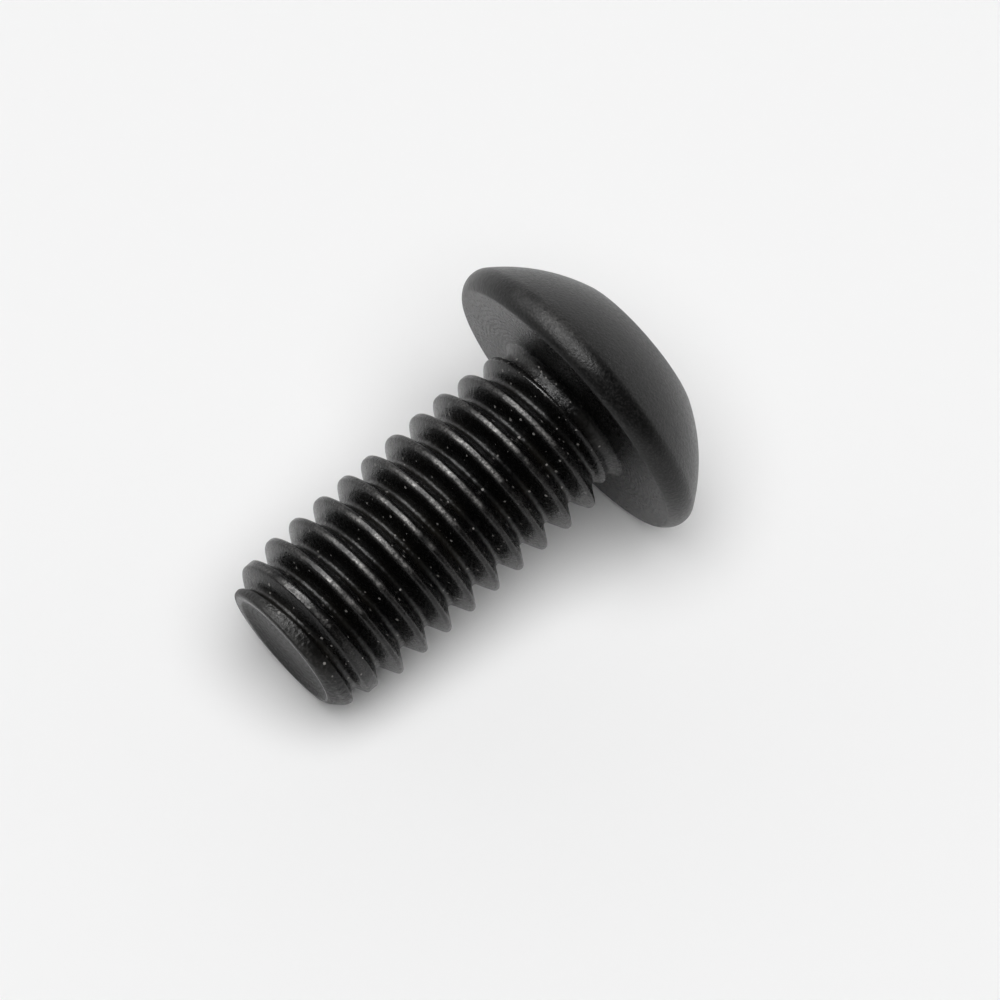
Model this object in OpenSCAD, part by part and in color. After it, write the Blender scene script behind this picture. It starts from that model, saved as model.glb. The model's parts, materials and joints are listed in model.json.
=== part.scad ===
// Button head bolt with a hex socket and a rolled metric thread, in millimetres.
// It lies as it comes to rest, on the rim of its head and a thread crest near the tip.
// +X runs towards the head, +Z is up, and the origin is on the table under the middle.

/* [Head] */
// Diameter across the widest part of the rim
head_d = 10.2; // [9:0.1:12]
// Height from the bearing face to the flat on top
head_h = 2.95; // [2.6:0.05:3.6]
// Width of the flat ring on top, round the mouth of the socket
flat_ring = 0.19; // [0.05:0.01:0.6]
// Height of the widest part of the rim, and radius of its round up to the dome
rim_round = 0.58; // [0.4:0.02:0.8]
// How far the edge of the bearing face lies inside the widest part
seat_edge = 0.32; // [0.2:0.02:0.4]

/* [Drive socket] */
// Width across the flats of the hex socket
socket_af = 4.05; // [3:0.05:4.2]
// Depth of the hex walls, from the flat on top
socket_depth = 2.08; // [1.2:0.02:2.2]
// Step between the hex walls and the conical bottom
socket_step = 0.2; // [0.05:0.05:0.8]
// Depth of the conical bottom, below the hex walls
socket_point_h = 0.45; // [0.1:0.05:0.6]
// How far the countersink at the mouth reaches past the socket's corners
mouth_edge = 0.1; // [0.05:0.01:0.2]
// Depth of the countersink at the mouth of the socket
mouth_depth = 0.2; // [0.1:0.02:0.4]

/* [Shank] */
// Length from the bearing face to the tip
shank_l = 11.7; // [8:0.1:14]
// How far the plain neck under the head lies below the crests
neck_drop = 0.48; // [0.3:0.01:0.5]
// Length of the plain neck, fillet included
neck_l = 0.6; // [0.6:0.05:2]
// Radius of the fillet between the neck and the bearing face, which starts clear of the crests
neck_fillet = 0.55; // [0.5:0.05:0.6]
// Width of the rim round the shallow dish that rolling leaves in the tip
dish_edge = 0.38; // [0.2:0.02:1]
// Depth of the dish in the tip
dish_depth = 0.22; // [0.05:0.01:0.4]

/* [Thread] */
// Diameter over the crests
thread_d = 5.8; // [5.6:0.02:6]
// Distance from one crest to the next
pitch = 1; // [0.9:0.05:1.25]
// Angle between the two flanks of a groove
flank_angle = 60; // [55:1:65]
// How far the tapered lead cuts the crests down at the tip
lead_drop = 0.45; // [0.05:0.01:0.48]
// Length of the tapered lead at the tip
lead_l = 1.6; // [0.5:0.1:4]
// Length over which the thread fades, slowly at first, into the neck
runout_l = 2.2; // [0.5:0.1:3]
// Angle round the axis at which a crest leaves the tip, 0 being straight down
thread_start = 165; // [0:5:355]

/* [Hidden] */

// Facets of the round forms, turn of the head's, and steps of the thread round a turn and its arcs
$fn = 128;
head_turn = 2.6;
turn_steps = 40;
arc_steps = 4;

// The neck laps over the end of the thread by this much along and round the shank
lap_l = 0.12;
lap_r = 0.02;

// Turns of the thread that are drawn past its end inside the neck, and then cut off
spare_turns = 0.5;

// Power by which the thread fades: under 1, the crests come down slowly and dive at the neck
fade_power = 1 / 3;

// Rounds of the crest and the root, as parts of the height of the sharp thread
crest_part = 1 / 8;
root_part = 1 / 6;

// Drive socket, from its corners out to the flat ring
corner_r = socket_af / (2 * cos(30));
mouth_r = corner_r + mouth_edge;
flat_r = mouth_r + flat_ring;

// Head: a sphere that passes through the edge of the flat and runs into the rounded rim
head_r = head_d / 2;
rim_r = head_r - rim_round;
low_round = (seat_edge ^ 2 + rim_round ^ 2) / (2 * seat_edge);
low_r = head_r - low_round;
dome_k = (flat_r ^ 2 + head_h ^ 2 - rim_r ^ 2) / (2 * rim_round);
dome_m = (head_h - rim_round) / rim_round;
dome_a = dome_m ^ 2 - 1;
dome_b = head_h - dome_k * dome_m;
dome_c = dome_k ^ 2 - flat_r ^ 2 - head_h ^ 2;
dome_z = -(dome_b + sqrt(dome_b ^ 2 - dome_a * dome_c)) / dome_a;
dome_r = norm([flat_r, head_h - dome_z]);
rim_angle = atan2(rim_round - dome_z, rim_r);

// Thread form: flanks with a rounded crest and a rounded root, as rolling leaves them
thread_r = thread_d / 2;
neck_r = thread_r - neck_drop;
flank_lean = flank_angle / 2;
sharp_h = pitch / (2 * tan(flank_lean));
crest_round = sharp_h * crest_part;
root_round = sharp_h * root_part;
arc_turn = 90 - flank_lean;
arc_drop = 1 - cos(arc_turn);
thread_h = sharp_h - (crest_round + root_round) * (1 / sin(flank_lean) - 1);
root_r = thread_r - thread_h;
crest_w = crest_round * sin(arc_turn);
most_cut = thread_h - root_round * arc_drop;

// Tip dish: the sphere that leaves a dish of this width and depth
dish_mouth_r = root_r - dish_edge;
dish_r = (dish_mouth_r ^ 2 + dish_depth ^ 2) / (2 * dish_depth);

// The thread is drawn past both ends and cut off at the tip and inside the neck
section_n = 2 * (arc_steps + 1);
thread_top = lap_l - neck_l;
thread_z = -shank_l - pitch * (1 + thread_start / 360);
steps = ceil(turn_steps * ((thread_top - thread_z) / pitch + spare_turns));

function share(from, to, v) = min(1, max(0, (v - from) / (to - from)));

// Turns up to a step of the thread: the lowest line falls between two steps, so it rests on both
function turns(j) = (j + 0.5) / turn_steps;

// Height of a crest at a step of the thread
function crest_z(j) = thread_z + pitch * turns(j);

// How much the tapered lead takes off a crest at height z
function lead_cut(z) =
    min(most_cut, lead_drop * (1 - share(-shank_l, lead_l - shank_l, z)));

// Point q, from -1 to 1, of a crest that is cut down by c: [along the axis, radius]
function crest_point(q, c) =
    let (w = crest_w + max(0, c - crest_round * arc_drop) * tan(flank_lean))
    [w * sin(q * arc_turn) / sin(arc_turn),
     thread_r - max(c, crest_round * (1 - cos(q * arc_turn)))];

// Point q, from -1 to 1, of the root after that crest
function root_point(q) =
    [pitch / 2 + root_round * sin(q * arc_turn),
     root_r + root_round * (1 - cos(q * arc_turn))];

function section(c) =
    let (qs = [for (i = [0 : arc_steps]) 2 * i / arc_steps - 1])
    concat([for (q = qs) crest_point(q, c)], [for (q = qs) root_point(q)]);

// Radius r fades to just under the neck's over the run-out
function faded(r, z) =
    let (end_r = neck_r - lap_r)
    end_r + (r - end_r) * share(-neck_l, -neck_l - runout_l, z) ^ fade_power;

thread_points = [
    for (j = [0 : steps])
    let (a = 360 * turns(j))
    for (p = section(lead_cut(crest_z(j))))
    let (z = crest_z(j) + p[0])
    let (r = faded(p[1], z))
    [r * cos(a), r * sin(a), z]
];

// Rest: the least tilt at which a point of the thread comes down level with the rim
function touch_tilt(p) =
    let (along = rim_round - p[2])
    let (down = low_r - p[0])
    atan2(down, along) + asin(low_round / norm([along, down]));

tilt = min([for (p = thread_points) if (p[2] >= -shank_l) touch_tilt(p)]);
lift = low_r * cos(tilt) + low_round - rim_round * sin(tilt);
head_reach = head_h * cos(tilt) + flat_r * sin(tilt);
tip_reach = shank_l * cos(tilt) + (thread_r - lead_drop) * sin(tilt);

// Number of point i of the section at step j
function at(j, i) = j * section_n + i;

// Two triangles between the lines of points that rise from p and from q
function strip(p, p_up, q, q_up) = [[p, p_up, q_up], [p, q_up, q]];

module thread_body() {
    last = section_n - 1;
    low = len(thread_points);
    high = low + 1;
    middle = crest_z(0) + pitch / 2;
    points = concat(thread_points, [[0, 0, middle], [0, 0, crest_z(steps)]]);
    walls = [
        for (j = [0 : steps - 1])
        for (i = [0 : last - 1])
        each strip(at(j, i), at(j, i + 1), at(j + 1, i), at(j + 1, i + 1))
    ];
    flanks = [
        for (j = [0 : steps - turn_steps - 1])
        let (next = j + turn_steps)
        each strip(at(j, last), at(next, 0), at(j + 1, last), at(next + 1, 0))
    ];
    low_end = concat(
        [for (j = [0 : turn_steps - 1]) [at(j, 0), at(j + 1, 0), low]],
        [for (i = [0 : last - 1]) [at(0, i + 1), at(0, i), low]],
        [[at(turn_steps, 0), at(0, last), low]]
    );
    high_end = concat(
        [for (j = [steps - turn_steps : steps - 1]) [at(j + 1, last), at(j, last), high]],
        [for (i = [0 : last - 1]) [at(steps, i), at(steps, i + 1), high]],
        [[at(steps - turn_steps, last), at(steps, 0), high]]
    );
    intersection() {
        polyhedron(points, concat(walls, flanks, low_end, high_end));
        translate([-thread_d, -thread_d, -shank_l])
            cube([2 * thread_d, 2 * thread_d, shank_l + thread_top]);
    }
}

// Half section of the dome, above the line from its centre through the middle of the rim
module dome_half() {
    reach = 2 * dome_r;
    intersection() {
        translate([0, dome_z]) circle(dome_r);
        polygon([
            [0, dome_z],
            [reach * cos(rim_angle), dome_z + reach * sin(rim_angle)],
            [0, dome_z + reach]
        ]);
        square([head_r, head_h]);
    }
}

// Half section of the neck and the fillet under the head
module neck_half() {
    translate([0, -neck_l]) square([neck_r, neck_l + rim_round]);
    difference() {
        translate([0, -neck_fillet]) square([neck_r + neck_fillet, neck_fillet + rim_round]);
        translate([neck_r + neck_fillet, -neck_fillet]) circle(neck_fillet);
    }
}

// Half section of the rim: one round up to the dome, a flatter one down to the bearing face
module rim_half() {
    square([low_r, rim_round]);
    intersection() {
        translate([low_r, rim_round]) circle(low_round);
        square([head_r, rim_round]);
    }
    intersection() {
        translate([rim_r, rim_round]) circle(rim_round);
        translate([0, rim_round]) square([head_r, rim_round]);
    }
}

module head_and_neck() {
    rotate(head_turn)
    rotate_extrude() {
        dome_half();
        rim_half();
        neck_half();
    }
}

module drive_socket() {
    over = 1;
    translate([0, 0, head_h - socket_depth]) {
        cylinder(h = socket_depth + over, r = corner_r, $fn = 6);
        translate([0, 0, -socket_point_h])
            cylinder(h = socket_point_h, r1 = 0, r2 = socket_af / 2 - socket_step);
    }
    translate([0, 0, head_h - mouth_depth])
        cylinder(h = mouth_depth, r1 = socket_af / 2, r2 = mouth_r);
}

module tip_dish() {
    translate([0, 0, dish_depth - dish_r - shank_l]) sphere(dish_r);
}

module at_rest() {
    translate([(tip_reach - head_reach) / 2, 0, lift]) rotate([0, 90 - tilt, 0]) children();
}

module bolt() {
    color([0.09, 0.09, 0.095])
    at_rest()
    difference() {
        union() {
            head_and_neck();
            thread_body();
        }
        drive_socket();
        tip_dish();
    }
}

bolt();
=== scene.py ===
"""Black button head bolt lying on a pale floor: one detailed mesh, its material, light and camera."""
import json
import math

import bpy
import numpy as np
from mathutils import Matrix, Vector


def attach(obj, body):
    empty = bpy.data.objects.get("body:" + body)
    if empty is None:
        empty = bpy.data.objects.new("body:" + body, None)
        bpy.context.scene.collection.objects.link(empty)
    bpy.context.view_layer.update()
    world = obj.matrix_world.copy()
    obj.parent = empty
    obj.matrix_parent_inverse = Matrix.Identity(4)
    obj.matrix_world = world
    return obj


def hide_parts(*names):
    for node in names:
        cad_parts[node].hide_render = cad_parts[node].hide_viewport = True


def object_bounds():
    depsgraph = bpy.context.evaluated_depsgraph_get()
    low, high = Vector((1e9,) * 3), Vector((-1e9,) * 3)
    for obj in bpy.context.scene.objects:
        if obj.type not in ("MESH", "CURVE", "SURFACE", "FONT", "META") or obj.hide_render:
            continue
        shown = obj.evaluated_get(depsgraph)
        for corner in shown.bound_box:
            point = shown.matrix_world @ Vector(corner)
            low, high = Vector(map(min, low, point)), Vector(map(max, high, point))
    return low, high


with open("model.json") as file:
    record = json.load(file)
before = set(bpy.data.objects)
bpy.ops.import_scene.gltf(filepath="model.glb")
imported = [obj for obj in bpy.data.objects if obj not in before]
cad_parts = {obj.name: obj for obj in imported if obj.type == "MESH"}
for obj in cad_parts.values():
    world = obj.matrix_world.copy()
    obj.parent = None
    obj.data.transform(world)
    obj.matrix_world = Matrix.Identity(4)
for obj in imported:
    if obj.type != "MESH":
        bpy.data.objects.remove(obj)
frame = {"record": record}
cad_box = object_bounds()

MM = 0.001
TURN = 2 * math.pi
SEED = 11
rng = np.random.default_rng(SEED)

# Sizes in millimetres, as in the CAD apart from a slightly slimmer neck and a flatter dish.
# Heights run along the axis from the bearing face, up to the head.
HEAD_R = 5.1
HEAD_H = 2.95
RIM_ROUND = 0.58
SEAT_R = 4.78
DOME_R = 6.04793
DOME_Z = -2.49698
RIM_ANGLE = math.radians(34.245)
FLAT_R = 2.62827
MOUTH_R = 2.43827
MOUTH_DEPTH = 0.2
SOCKET_AF = 4.05
SOCKET_DEPTH = 2.08
SOCKET_STEP = 0.2
SOCKET_POINT = 0.45
TIP_Z = -11.7
NECK_R = 2.40
NECK_L = 0.56
NECK_FILLET_L = 0.42
NECK_FILLET_W = 0.38
DISH_R = 2.00
DISH_DEPTH = 0.22
DISH_POWER = 5
THREAD_R = 2.9
PITCH = 1.0
START = math.radians(165)
LEAN = math.radians(30)
CREST_ROUND = 0.10825
ROOT_ROUND = 0.14434
ROOT_R = 2.28657

# What this one bolt shows beyond the drawing. Its lead is cut off-centre, and on one side the first
# crest is rolled flat into the tip
LEAD_SHORT, LEAD_LONG = 1.2, 2.5
LEAD_LEVEL = 0.3
LEAD_DROP, LEAD_DROP_DEEP = 0.40, 0.30
LEAD_DEEP_AT = math.radians(-64)
LEAD_NARROW = 2.65
LEAD_SOFT = 0.06
LEAD_FLAT, LEAD_FLAT_AT = 0.15, math.radians(-150)
FLAT_FULL, FLAT_END = 0.25, 0.45
TIP_TAPER, TIP_TAPER_L = 0.15, 0.8
TIP_R, TIP_SHIFT, TIP_FLAT = 2.25, 0.12, 0.12
TIP_SOFT = 0.04
LEAST_SOFT = 1e-6

# Its thread runs nearly full up to the neck, a little off-centre
RUNOUT_L = 2.2
RUNOUT_POWER = 0.14
RUNOUT_SHIFT = 0.07
RUNOUT_SHIFT_L, RUNOUT_SHIFT_GAP = 2.5, 0.3

# A lip on the head side of the crests stops at a rolled seam, and the crests wander and dip
LIP = 0.085
LIP_WAVE = 0.3
LIP_SPAN = math.radians(150)
LIP_FADE = 0.7
SEAM_AT = math.radians(-139)
SEAM_WAVE = math.radians(5)
SEAM_RAMP = math.radians(7)
WANDER = 0.012
CREST_DIP = 0.010
WAVE_DRAWS, WAVES = 8, 4
WAVE_STEP, WAVE_LEVEL = 1.7, 1.6

# Where the material changes: nearness to a crest runs from 0 in a root to 1, heights are in millimetres
DIP_NEAR = (0.5, 1)
CREST_NEAR = (0.62, 0.95)
ROOT_NEAR = (0.45, 0.05)
# The worn crest share is rubbed wear laid only on the side where the softbox highlight falls, so it is
# partly a painted highlight
WORN_HIGHLIGHT_NEAR = (0.80, 0.98)
WORN_HIGHLIGHT_CUT = (0.02, 0.22)
WORN_HIGHLIGHT_BELOW = (-0.9, -1.9)
HIGHLIGHT_WEAR_FULL, HIGHLIGHT_WEAR_END = math.radians(35), math.radians(80)
# The rim's rubbed band is kept to the side where the softbox highlight falls, so it is partly a painted
# highlight
RIM_HIGHLIGHT_WEAR_AT = math.radians(-182)
RIM_HIGHLIGHT_WEAR_SIDE = (0.88, 0.985)
RIM_HIGHLIGHT_WEAR_FROM, RIM_HIGHLIGHT_WEAR_TO = (0.05, 0.4), (0.7, 1.15)
DULL_TIP = (0.75, 0.35)
EDGE_DISH = 0.7
EDGE_DISH_END = (0.24, 0.12)
FILLET_SEAT = (0.6, 1.2)

# Mesh: columns round the axis, a multiple of six so that they meet the socket's corners, and rows
COLUMNS = 180
ROW_STEP = 0.031
TIP_EDGE = 0.08
SEAT_SOFT = 0.05
FLAT_SOFT = 0.03
LAND_LAP = 0.02
LAND_ROWS = ((0.1, 0.004), (0.325, 0), (0.64, 0))
SHOULDER_ROWS = ((1, 0.45), (0, 0.1), (-1, 0))
DISH_ROWS, EDGE_ROWS, FILLET_ROWS = 22, 6, 13
SEAT_ROWS, CORNER_ROWS, LOW_RIM_ROWS, HIGH_RIM_ROWS, DOME_ROWS = 18, 6, 14, 10, 30
MOUTH_ROWS, WALL_ROWS, POINT_ROWS = 6, 10, 8
SHARP_ANGLE = math.radians(38)
phi = np.arange(COLUMNS) * TURN / COLUMNS


def ramp(low, high, v):
    """0 on the low side, 1 on the high side, and a smooth change between them; low may be above high."""
    t = np.clip((v - low) / (high - low), 0, 1)
    return t * t * (3 - 2 * t)


def soft_min(a, b, soft):
    """The lesser of a and b, with the corner between them rounded over about soft."""
    gap = np.clip(0.5 + 0.5 * (b - a) / soft, 0, 1)
    return a * gap + b * (1 - gap) - soft * gap * (1 - gap)


wave_seed = {name: rng.random(WAVE_DRAWS) for name in ("wander", "seam", "lip", "dip")}


def seeded_wave(name, lowest):
    """A smooth irregular line along the thread, between about -1 and 1."""
    phases = wave_seed[name]

    def line(turns):
        total = 0
        for k in range(WAVES):
            total = total + np.sin(TURN * (lowest * WAVE_STEP ** k * turns + phases[k])) / (k + 1)
        return total / WAVE_LEVEL

    return line


wander = seeded_wave("wander", 1.3)
seam_wave = seeded_wave("seam", 0.37)
lip_wave = seeded_wave("lip", 2.3)
dip_wave = seeded_wave("dip", 3.1)


def tooth(u):
    """Radius of the full thread at a distance u along the axis from the middle of a crest."""
    crest_w = CREST_ROUND * math.cos(LEAN)
    root_w = ROOT_ROUND * math.cos(LEAN)
    flank_r = THREAD_R - CREST_ROUND * (1 - math.sin(LEAN))
    flank = flank_r - (u - crest_w) / math.tan(LEAN)
    crest = THREAD_R - CREST_ROUND + np.sqrt(np.maximum(CREST_ROUND ** 2 - u ** 2, 0))
    v = PITCH / 2 - u
    root = ROOT_R + ROOT_ROUND - np.sqrt(np.maximum(ROOT_ROUND ** 2 - v ** 2, 0))
    return np.where(u < crest_w, crest, np.where(v < root_w, root, flank))


def flat_side(angle):
    """1 at the side where the first crest is rolled flat into the tip, 0 from a quarter turn away."""
    return np.maximum(0, np.cos(angle - LEAD_FLAT_AT)) ** 2


def lead_cut(z, angle):
    """How much the off-centre lead takes off a crest at height z."""
    deep = (0.5 + 0.5 * np.cos(angle - LEAD_DEEP_AT)) ** LEAD_NARROW
    length = LEAD_SHORT + (LEAD_LONG - LEAD_SHORT) * deep
    drop = LEAD_DROP + (LEAD_DROP_DEEP - LEAD_DROP) * deep
    drop = drop + LEAD_FLAT * flat_side(angle)
    return drop * ramp(length, LEAD_LEVEL * length, z - TIP_Z)


def tip_form(r, cut, from_tip, angle):
    """Radius r of the thread, tapered, rolled flat on one side and chamfered at the tip."""
    flat = flat_side(angle)
    r = r - TIP_TAPER * (1 - flat) * ramp(TIP_TAPER_L, 0, from_tip)
    r = r + (THREAD_R - cut - r) * flat * ramp(FLAT_END, FLAT_FULL, from_tip)
    edge = TIP_R + TIP_FLAT * flat - TIP_SHIFT * np.cos(angle - LEAD_DEEP_AT)
    return soft_min(r, edge + from_tip, TIP_SOFT)


def thread(z, angle):
    """Radius of the thread at a height and an angle, and its shares of crest, root and worn crest, the
    worn crest being partly a painted highlight.
    """
    first = TIP_Z - PITCH * (1 + START / TURN)
    u = (z - first - PITCH * angle / TURN + PITCH / 2) % PITCH - PITCH / 2
    crest_z = z - u
    from_tip = z - TIP_Z
    turns = (crest_z - first) / PITCH
    near = 1 - 2 * np.abs(u) / PITCH
    u = u - WANDER * wander(turns) * near

    before_seam = (SEAM_AT + SEAM_WAVE * seam_wave(turns) - angle) % TURN
    at_seam = ramp(0, SEAM_RAMP, before_seam)
    lip = at_seam * (1 - ramp(LIP_FADE * LIP_SPAN, LIP_SPAN, before_seam))
    lip = lip * LIP * (1 + LIP_WAVE * lip_wave(turns))
    u = np.where(u > 0, np.maximum(0, u - lip * (1 - 2 * u / PITCH)), u)

    r = tooth(np.abs(u))
    r = r - CREST_DIP * (0.5 + 0.5 * dip_wave(turns)) * ramp(*DIP_NEAR, near)
    cut = lead_cut(crest_z, angle)
    r = soft_min(r, THREAD_R - cut, np.minimum(LEAD_SOFT, cut) + LEAST_SOFT)
    r = tip_form(r, cut, from_tip, angle)

    kept = np.clip((-NECK_L - z) / RUNOUT_L, 0, 1) ** RUNOUT_POWER
    shift = RUNOUT_SHIFT * ramp(-NECK_L - RUNOUT_SHIFT_L, -NECK_L - RUNOUT_SHIFT_GAP, z) * near
    r = NECK_R + (r + shift * np.cos(angle - LEAD_DEEP_AT) - NECK_R) * kept

    crest = ramp(*CREST_NEAR, near) * kept
    root = np.maximum(ramp(*ROOT_NEAR, near) * kept, ramp(*DULL_TIP, from_tip))
    # Rubbed wear before the seam, kept to the side where the softbox highlight falls: wear and a painted
    # highlight
    rubbed_and_highlight = at_seam * (1 - ramp(HIGHLIGHT_WEAR_FULL, HIGHLIGHT_WEAR_END, before_seam))
    worn_and_highlight = ramp(*WORN_HIGHLIGHT_NEAR, near) * rubbed_and_highlight * (1 - ramp(*WORN_HIGHLIGHT_CUT, cut)) * ramp(*WORN_HIGHLIGHT_BELOW, crest_z)
    return r, crest, root, worn_and_highlight


def rim_wear_and_highlight(z):
    """Share of rubbed oxide on the rim, at one side of its widest part, the side where the softbox
    highlight falls: wear and a painted highlight.
    """
    band = ramp(*RIM_HIGHLIGHT_WEAR_FROM, z) * (1 - ramp(*RIM_HIGHLIGHT_WEAR_TO, z))
    return band * ramp(*RIM_HIGHLIGHT_WEAR_SIDE, np.cos(phi - RIM_HIGHLIGHT_WEAR_AT))


# Rows of the mesh, from the middle of the tip round to the bottom of the socket
SHARES = ("crest", "root", "worn_and_highlight", "seat", "head", "dish")
rows = []


def add_row(r, z, crest=0.0, root=0.0, worn_and_highlight=0.0, seat=0.0, head=0.0, dish=0.0):
    """A ring of points: radius and height, then the shares of each finish in the order of SHARES."""
    values = (r, z, crest, root, worn_and_highlight, seat, head, dish)
    rows.append([np.broadcast_to(np.asarray(v, float), COLUMNS) for v in values])


def tip_rows():
    """The dish, the flat land round it and the rounded edge of the tip."""
    for t in np.linspace(0, 1, DISH_ROWS)[1:-1]:
        add_row(DISH_R * t, TIP_Z + DISH_DEPTH * (1 - t ** DISH_POWER), dish=1)
    inner = DISH_R - LAND_LAP
    outer = thread(np.full(COLUMNS, TIP_Z), phi)[0] - TIP_EDGE
    for share, up in LAND_ROWS:
        add_row(inner + (outer - inner) * share, TIP_Z + up)
    for a in np.linspace(0, math.pi / 2, EDGE_ROWS):
        z = TIP_Z + TIP_EDGE * (1 - math.cos(a))
        r, *shares = thread(np.full(COLUMNS, z), phi)
        add_row(r - TIP_EDGE * (1 - math.sin(a)), z, *shares, dish=EDGE_DISH)


def shank_rows():
    """The thread, and the fillet of the neck up to the bearing face."""
    low, high = TIP_Z + TIP_EDGE, -NECK_L
    for z in np.linspace(low, high, round((high - low) / ROW_STEP))[1:]:
        r, *shares = thread(np.full(COLUMNS, z), phi)
        add_row(r, z, *shares, dish=EDGE_DISH * ramp(*EDGE_DISH_END, z - TIP_Z))
    for a in np.linspace(0, math.pi / 2, FILLET_ROWS)[1:]:
        z = -NECK_FILLET_L + NECK_FILLET_L * math.sin(a)
        on_seat = ramp(*FILLET_SEAT, a)
        add_row(NECK_R + NECK_FILLET_W * (1 - math.cos(a)), z, root=1 - on_seat, seat=on_seat)


def head_rows():
    """The bearing face, its soft corner, the two rounds of the rim, the dome and the flat on top."""
    low_round = ((HEAD_R - SEAT_R) ** 2 + RIM_ROUND ** 2) / (2 * (HEAD_R - SEAT_R))
    low_r = HEAD_R - low_round
    seat_in = SEAT_R - SEAT_SOFT
    for r in np.linspace(NECK_R + NECK_FILLET_W, seat_in, SEAT_ROWS)[1:-1]:
        add_row(r, 0, seat=1)
    arc_start = math.asin(RIM_ROUND / low_round) - SEAT_SOFT / low_round
    end_r = low_r + low_round * math.cos(arc_start)
    end_z = RIM_ROUND - low_round * math.sin(arc_start)
    for t in np.linspace(0, 1, CORNER_ROWS):
        r = (1 - t) ** 2 * seat_in + 2 * t * (1 - t) * SEAT_R + t * t * end_r
        add_row(r, t * t * end_z, seat=1 - t, head=t)
    for a in np.linspace(-arc_start, 0, LOW_RIM_ROWS)[1:]:
        z = RIM_ROUND + low_round * math.sin(a)
        add_row(low_r + low_round * math.cos(a), z, worn_and_highlight=rim_wear_and_highlight(z), head=1)
    for a in np.linspace(0, RIM_ANGLE, HIGH_RIM_ROWS)[1:]:
        z = RIM_ROUND + RIM_ROUND * math.sin(a)
        add_row(HEAD_R - RIM_ROUND + RIM_ROUND * math.cos(a), z, worn_and_highlight=rim_wear_and_highlight(z), head=1)
    for a in np.linspace(RIM_ANGLE, math.acos(FLAT_R / DOME_R), DOME_ROWS)[1:-1]:
        z = DOME_Z + DOME_R * math.sin(a)
        add_row(DOME_R * math.cos(a), z, worn_and_highlight=rim_wear_and_highlight(z), head=1)
    for out, drop in SHOULDER_ROWS:
        add_row(FLAT_R + out * FLAT_SOFT, HEAD_H - drop * FLAT_SOFT, head=1)
    add_row(MOUTH_R + FLAT_SOFT, HEAD_H, head=1)


def socket_rows():
    """The countersunk mouth, the hex walls, the step and the conical bottom."""
    half = SOCKET_AF / 2
    hexagon = half / np.cos((phi % (TURN / 6)) - TURN / 12)
    slope = MOUTH_DEPTH / (MOUTH_R - half)
    for t in np.linspace(0, 1, MOUTH_ROWS):
        r = MOUTH_R + (hexagon - MOUTH_R) * t
        add_row(r, HEAD_H - slope * (MOUTH_R - r), head=1)
    top = HEAD_H - slope * (MOUTH_R - hexagon)
    bottom = HEAD_H - SOCKET_DEPTH
    for t in np.linspace(0, 1, WALL_ROWS)[1:]:
        add_row(hexagon, top + (bottom - top) * t, head=1)
    step_r = half - SOCKET_STEP
    for t in (0.5, 1):
        add_row(hexagon + (step_r - hexagon) * t, bottom, head=1)
    for t in np.linspace(0, 1, POINT_ROWS)[1:-1]:
        add_row(step_r * (1 - t), bottom - SOCKET_POINT * t, head=1)


tip_rows()
shank_rows()
head_rows()
socket_rows()

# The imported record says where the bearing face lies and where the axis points
seat_mount = next(m for m in frame["record"]["mounts"] if m["name"] == "bearing_face")
axis = -Vector(seat_mount["axis"]).normalized()
seat_at = Vector((seat_mount["pos_m"][0], 0, seat_mount["pos_m"][2]))
across = Vector((0, 1, 0))
down = across.cross(axis)


def bolt_faces(count):
    """Quads between the rows, and a fan at each end."""
    i = np.arange(COLUMNS)
    j = (i + 1) % COLUMNS
    base = (np.arange(count - 1) * COLUMNS)[:, None]
    above = base + COLUMNS
    quads = np.stack([base + i, above + i, above + j, base + j], axis=-1).reshape(-1, 4)
    tip_pole, socket_pole = count * COLUMNS, count * COLUMNS + 1
    last = (count - 1) * COLUMNS
    faces = quads.tolist()
    faces += [(tip_pole, int(a), int(b)) for a, b in zip(i, j)]
    faces += [(socket_pole, int(last + b), int(last + a)) for a, b in zip(i, j)]
    return faces


def build_bolt():
    """The mesh, held to the CAD model's box, with its own coordinates and shares as attributes."""
    grid = np.array(rows)
    r, z = grid[:, 0], grid[:, 1]
    local = np.stack([r * np.cos(phi), r * np.sin(phi), z], axis=-1).reshape(-1, 3)
    poles = [[0, 0, TIP_Z + DISH_DEPTH], [0, 0, HEAD_H - SOCKET_DEPTH - SOCKET_POINT]]
    local = np.vstack([local, poles])
    world = local * MM @ np.array([down, across, axis]) + np.array(seat_at)
    world = np.clip(world, np.array(cad_box[0]), np.array(cad_box[1]))
    mesh = bpy.data.meshes.new("bolt_body")
    mesh.from_pydata(world.tolist(), [], bolt_faces(len(rows)))
    mesh.update()
    place = mesh.attributes.new("local", "FLOAT_VECTOR", "POINT")
    place.data.foreach_set("vector", local.astype(np.float32).ravel())
    for k, name in enumerate(SHARES, start=2):
        at_poles = [float(name == "dish"), float(name == "head")]
        values = np.append(grid[:, k].ravel(), at_poles).astype(np.float32)
        mesh.attributes.new(name, "FLOAT", "POINT").data.foreach_set("value", values)
    mesh.shade_smooth()
    mesh.set_sharp_from_angle(angle=SHARP_ANGLE)
    piece = bpy.data.objects.new("bolt_body", mesh)
    bpy.context.scene.collection.objects.link(piece)
    return piece


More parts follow.
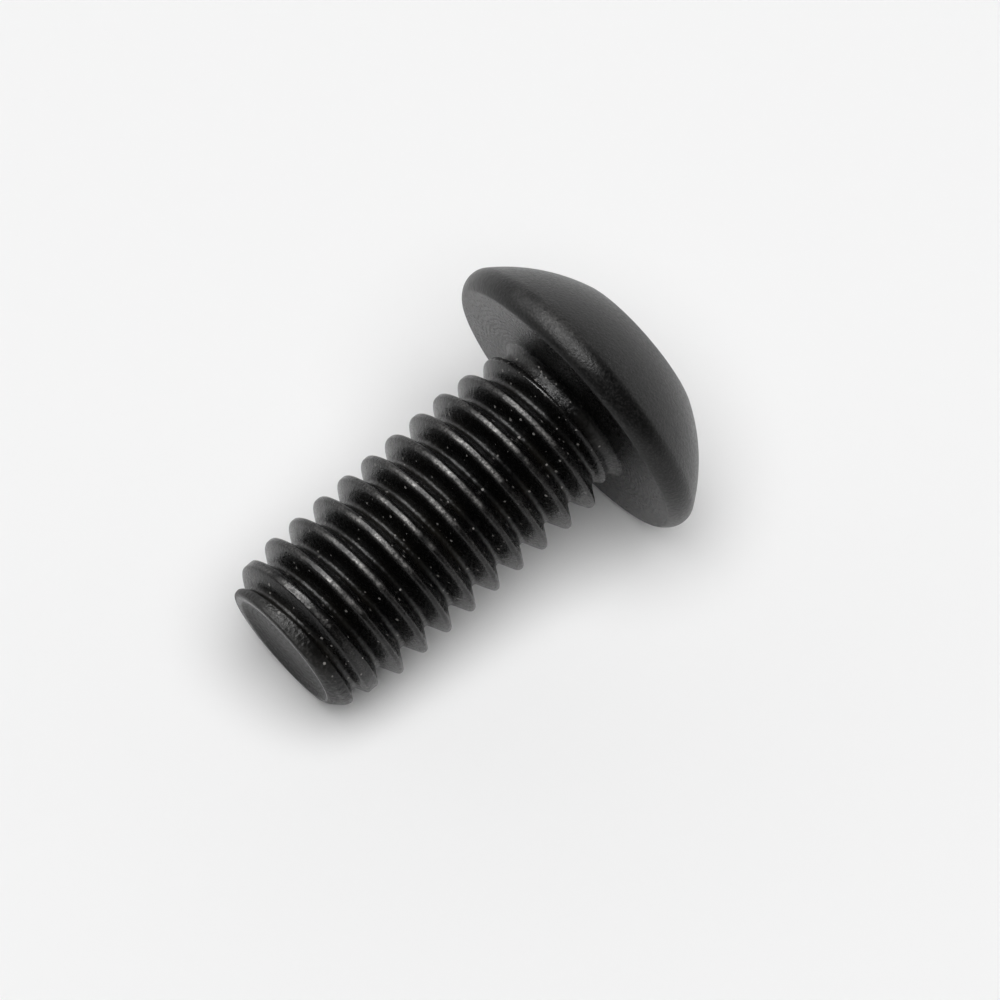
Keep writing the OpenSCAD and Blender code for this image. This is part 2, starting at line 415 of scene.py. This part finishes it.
class Nodes:
    """Adds nodes to a tree, each with its settings, its input values and its links."""

    def __init__(self, tree):
        self.tree = tree
        tree.nodes.clear()

    def feed(self, socket, value):
        if isinstance(value, bpy.types.NodeSocket):
            self.tree.links.new(value, socket)
        else:
            socket.default_value = value

    def add(self, kind, inputs=None, **settings):
        node = self.tree.nodes.new(kind)
        for name, value in settings.items():
            setattr(node, name, value)
        for name, value in (inputs or {}).items():
            self.feed(node.inputs[name], value)
        return node

    def share(self, name):
        return self.add("ShaderNodeAttribute", attribute_name=name).outputs["Fac"]

    def math(self, operation, a, b=0.0, clamp=False):
        node = self.add("ShaderNodeMath", {0: a, 1: b}, operation=operation, use_clamp=clamp)
        return node.outputs[0]

    def plus(self, a, b, clamp=False):
        return self.math("ADD", a, b, clamp)

    def minus(self, a, b, clamp=False):
        return self.math("SUBTRACT", a, b, clamp)

    def times(self, a, b, clamp=False):
        return self.math("MULTIPLY", a, b, clamp)

    def most(self, a, b):
        return self.math("MAXIMUM", a, b)

    def rise(self, value, low, high):
        inputs = {"Value": value, "From Min": low, "From Max": high}
        return self.add("ShaderNodeMapRange", inputs, interpolation_type="SMOOTHSTEP").outputs[0]

    def noise(self, vector, scale, detail=3.0, rough=0.55):
        inputs = {"Vector": vector, "Scale": scale, "Detail": detail, "Roughness": rough}
        return self.add("ShaderNodeTexNoise", inputs).outputs["Fac"]

    def blend(self, factor, a, b):
        node = self.add("ShaderNodeMix", data_type="RGBA")
        for index, value in ((0, factor), (6, a), (7, b)):
            self.feed(node.inputs[index], value)
        return node.outputs[2]


def grey(v, warm=0.0):
    return (v * (1 + warm), v, v * (1 - warm), 1)


# Colours of the finish
OXIDE_DARK, OXIDE_PALE = grey(0.0005), grey(0.005, 0.04)
HEAD_DARK, HEAD_PALE = grey(0.001), grey(0.015, 0.02)
RESIDUE = (0.008, 0.007, 0.005, 1)
# Grey steel of the wear, laid also as a painted highlight on the side of the crests and rim where the
# softbox is mirrored
BARE_STEEL_AND_HIGHLIGHT = grey(0.40, 0.03)
DUST = grey(0.26, 0.04)
IOR = 1.4

# Scales of its noises, in cells a millimetre, and the levels between which each one shows
FINE_SCALE, COARSE_SCALE, BLOTCH_SCALE = 9.0, 3.2, 0.55
SAND_SCALE, SAND_RISE = 16.0, (0.42, 0.72)
GRAIN_SCALE, GRAIN_RISE = 11.0, (0.30, 0.78)
PATCH_SCALE, PATCH_RISE = 1.5, (0.32, 0.62)
BLOTCH_RISE, FINE_RISE, FLECK_RISE = (0.4, 0.7), (0.3, 0.75), (0.4, 0.65)
DUST_SCALE, DUST_RISE, DUST_SIZE, DUST_COVER = 4.2, (0.25, 1.0), 0.21, 0.8
RESIDUE_ROOT, RESIDUE_ALL = 0.5, 0.1
# Shares of the grey grains, which are wear and, on the lit side, a painted highlight
BARE_WORN_HIGHLIGHT, BARE_CREST, BARE_HIGHLIGHT_ALL, BARE_HIGHLIGHT_LESS_HEAD = 0.9, 0.1, 0.85, 0.85

# Turning marks: turns of the sine a millimetre and how far it wanders, and where the rings are strong
RING_TURNS, RING_WANDER, RING_RISE = 34.0, 6.0, (-0.2, 1.0)
RING_NEAR, RING_STRONG, RING_FAINT, RING_FLECKS = (4.4, 3.2), 0.6, 0.15, 0.5

# Roughness, and the heights of the bump in millimetres
ROUGH, ROUGH_HEAD, ROUGH_FINE, ROUGH_BARE = 0.19, 0.11, 0.12, 0.14
ROUGH_ROOT, ROUGH_DISH, ROUGH_DUST, ROUGH_RING = 0.10, 0.08, 0.4, 0.11
GRAIN_H, GRAIN_MORE_H, RING_H = 0.024, 0.030, 0.003
UNEVEN_H, UNEVEN_LESS_HEAD_H, UNEVEN_ROOT_H = 0.026, 0.020, 0.05
BUMP_STRENGTH = 0.6


def black_oxide():
    material = bpy.data.materials.new("black_oxide")
    material.use_nodes = True
    n = Nodes(material.node_tree)
    local = n.add("ShaderNodeAttribute", attribute_name="local").outputs["Vector"]
    crest, root, worn_and_highlight, seat, head, dish = [n.share(name) for name in SHARES]
    turned = n.most(seat, dish)

    fine = n.noise(local, FINE_SCALE, 4.0, 0.65)
    coarse = n.noise(local, COARSE_SCALE)
    blotch = n.noise(local, BLOTCH_SCALE, 2.0)

    # Oxide: near black, a little uneven and paler on the head, with brown oil residue in the roots
    sand = n.rise(n.noise(local, SAND_SCALE, 2.0, 0.7), *SAND_RISE)
    oxide = n.blend(sand, OXIDE_DARK, OXIDE_PALE)
    oxide = n.blend(head, oxide, n.blend(sand, HEAD_DARK, HEAD_PALE))
    brown = n.plus(n.times(root, RESIDUE_ROOT), RESIDUE_ALL)
    brown = n.times(n.rise(blotch, *BLOTCH_RISE), brown)
    colour = n.blend(brown, oxide, RESIDUE)

    # Wear and painted highlight: grey metal grains in patches along the crests, most where they are
    # rubbed before the seam, the side where the softbox highlight falls
    grains = n.rise(n.noise(local, GRAIN_SCALE, 4.0, 0.7), *GRAIN_RISE)
    grains = n.times(grains, n.rise(n.noise(local, PATCH_SCALE), *PATCH_RISE))
    bare_and_highlight = n.plus(n.times(worn_and_highlight, BARE_WORN_HIGHLIGHT), n.times(crest, BARE_CREST), clamp=True)
    off_head = n.minus(1.0, n.times(head, BARE_HIGHLIGHT_LESS_HEAD))
    wear_and_highlight = n.times(n.times(bare_and_highlight, grains), n.times(off_head, BARE_HIGHLIGHT_ALL), clamp=True)
    colour = n.blend(wear_and_highlight, colour, BARE_STEEL_AND_HIGHLIGHT)

    # Dust: pale specks caught in the roots and on the flanks
    cells = n.add("ShaderNodeTexVoronoi", {"Vector": local, "Scale": DUST_SCALE}, feature="F1")
    chosen = n.add("ShaderNodeSeparateColor", {"Color": cells.outputs["Color"]}).outputs["Red"]
    size = n.times(n.rise(chosen, *DUST_RISE), DUST_SIZE)
    speck = n.math("LESS_THAN", cells.outputs["Distance"], size)
    off_crest = n.minus(1.0, crest, clamp=True)
    threaded = n.minus(1.0, n.most(head, turned), clamp=True)
    dust = n.times(speck, n.times(threaded, off_crest))
    colour = n.blend(n.times(dust, DUST_COVER), colour, DUST)

    # Turning marks: faint rings round the bearing face and the dish, stronger near the neck
    parts = n.add("ShaderNodeSeparateXYZ", {"Vector": local}).outputs
    flat = n.add("ShaderNodeCombineXYZ", {"X": parts["X"], "Y": parts["Y"]}).outputs[0]
    radius = n.add("ShaderNodeVectorMath", {0: flat}, operation="LENGTH").outputs["Value"]
    marks = n.plus(n.times(radius, RING_TURNS), n.times(coarse, RING_WANDER))
    marks = n.rise(n.math("SINE", marks), *RING_RISE)
    strong = n.plus(n.times(n.rise(radius, *RING_NEAR), RING_STRONG), RING_FAINT)
    flecks = n.times(n.rise(fine, *FLECK_RISE), RING_FLECKS)
    ring = n.plus(n.times(marks, strong), flecks)

    # Gloss: oily flanks and bearing face, a satin head, dull roots, grains and dust
    rough = n.plus(ROUGH, n.times(head, ROUGH_HEAD))
    rough = n.plus(rough, n.times(n.rise(fine, *FINE_RISE), ROUGH_FINE))
    rough = n.plus(rough, n.times(bare_and_highlight, ROUGH_BARE))
    rough = n.plus(rough, n.plus(n.times(root, ROUGH_ROOT), n.times(dish, ROUGH_DISH)))
    rough = n.plus(rough, n.times(dust, ROUGH_DUST))
    rough = n.plus(rough, n.times(n.times(ring, turned), ROUGH_RING))

    # Bump: the grain of the oxide, its unevenness, less on the head, and the turning marks
    grained = n.most(n.most(bare_and_highlight, root), turned)
    height = n.times(fine, n.plus(GRAIN_H, n.times(grained, GRAIN_MORE_H)))
    uneven = n.minus(UNEVEN_H, n.times(head, UNEVEN_LESS_HEAD_H))
    uneven = n.plus(uneven, n.times(root, UNEVEN_ROOT_H))
    height = n.plus(height, n.times(coarse, uneven))
    height = n.plus(height, n.times(n.times(ring, seat), RING_H))
    bump = n.add("ShaderNodeBump", {"Height": height, "Strength": BUMP_STRENGTH, "Distance": MM})
    shader = n.add(
        "ShaderNodeBsdfPrincipled",
        {
            "Base Color": colour,
            "Roughness": rough,
            "Metallic": wear_and_highlight,
            "IOR": IOR,
            "Normal": bump.outputs["Normal"],
        },
    )
    n.add("ShaderNodeOutputMaterial", {"Surface": shader.outputs[0]})
    return material


# The stage: sizes in metres, ways as directions from the bolt
FLOOR_HALF = 1.5
FLOOR_COLOUR = grey(0.93)
BACK_WAY = (0.60, 0.80, 0.0)
BACK_RISE = (-0.35, 0.55)
BACK_FADE = (0.25, 0.6)
WORLD_DARK, WORLD_BRIGHT = grey(0.02), grey(1.05)


def pale_floor():
    material = bpy.data.materials.new("pale_floor")
    material.use_nodes = True
    n = Nodes(material.node_tree)
    shader = n.add("ShaderNodeBsdfDiffuse", {"Color": FLOOR_COLOUR})
    n.add("ShaderNodeOutputMaterial", {"Surface": shader.outputs[0]})
    return material


def add_floor():
    mesh = bpy.data.meshes.new("floor")
    signs = ((-1, -1), (1, -1), (1, 1), (-1, 1))
    corners = [(x * FLOOR_HALF, y * FLOOR_HALF, 0) for x, y in signs]
    mesh.from_pydata(corners, [], [(0, 1, 2, 3)])
    mesh.materials.append(pale_floor())
    floor = bpy.data.objects.new("floor", mesh)
    bpy.context.scene.collection.objects.link(floor)


def add_sun(name, towards, strength, angle, mirrored=True, lights_floor=True):
    """A soft distant lamp. towards is the way from the bolt to the lamp, angle its width in degrees."""
    light = bpy.data.lights.new(name, "SUN")
    light.energy = strength
    light.angle = math.radians(angle)
    lamp = bpy.data.objects.new(name, light)
    lamp.rotation_mode = "QUATERNION"
    lamp.rotation_quaternion = Vector(towards).to_track_quat("Z", "Y")
    lamp.visible_glossy = mirrored
    lamp.visible_diffuse = lights_floor
    bpy.context.scene.collection.objects.link(lamp)


def add_world():
    """A bright low backdrop behind the bolt that turns dark overhead and towards the camera's side."""
    world = bpy.data.worlds.new("studio")
    bpy.context.scene.world = world
    world.use_nodes = True
    n = Nodes(world.node_tree)
    way = n.add("ShaderNodeTexCoord").outputs["Generated"]
    along = n.add("ShaderNodeVectorMath", {0: way, 1: BACK_WAY}, operation="DOT_PRODUCT")
    height = n.add("ShaderNodeSeparateXYZ", {"Vector": way}).outputs["Z"]
    low = n.minus(1.0, n.rise(height, *BACK_FADE))
    behind = n.rise(along.outputs["Value"], *BACK_RISE)
    shade = n.blend(n.times(behind, low), WORLD_DARK, WORLD_BRIGHT)
    background = n.add("ShaderNodeBackground", {"Color": shade, "Strength": 1.0})
    n.add("ShaderNodeOutputWorld", {"Surface": background.outputs[0]})


# The camera, in millimetres: what it looks at lies a little left of and below the bearing face
VIEW_ELEVATION, VIEW_HEADING = math.radians(55.75), math.radians(40.63)
VIEW_DISTANCE, VIEW_LEFT, VIEW_BELOW = 217, 2.006, 2.83
SENSOR, LENS = 36, 250
CLIP_START, CLIP_END = 0.01, 10


def add_camera():
    """The photograph's view: the tip points at the lower left and leans towards the camera."""
    right = Vector((math.cos(VIEW_HEADING), -math.sin(VIEW_HEADING), 0))
    level = Vector((math.sin(VIEW_HEADING), math.cos(VIEW_HEADING), 0))
    look = level * math.cos(VIEW_ELEVATION) - Vector((0, 0, math.sin(VIEW_ELEVATION)))
    up = right.cross(look)
    data = bpy.data.cameras.new("camera")
    data.sensor_width = SENSOR
    data.lens = LENS
    data.clip_start, data.clip_end = CLIP_START, CLIP_END
    camera = bpy.data.objects.new("camera", data)
    target = seat_at - right * VIEW_LEFT * MM - up * VIEW_BELOW * MM
    place = target - look * VIEW_DISTANCE * MM
    turn = Matrix((right, up, -look)).transposed().to_4x4()
    camera.matrix_world = Matrix.Translation(place) @ turn
    bpy.context.scene.collection.objects.link(camera)
    bpy.context.scene.camera = camera


bolt = build_bolt()
bolt.data.materials.append(black_oxide())
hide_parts("bolt")
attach(bolt, "root")

# The key lights the floor and makes the shadow; the softbox gives the bolt its highlights
add_floor()
add_world()
add_sun("key", towards=(-0.14, -0.24, 0.960), strength=2.86, angle=60, mirrored=False)
add_sun("softbox", towards=(-0.25, 0.26, 0.933), strength=4.3, angle=32, lights_floor=False)
add_camera()

bpy.context.scene.view_settings.view_transform = "Standard"
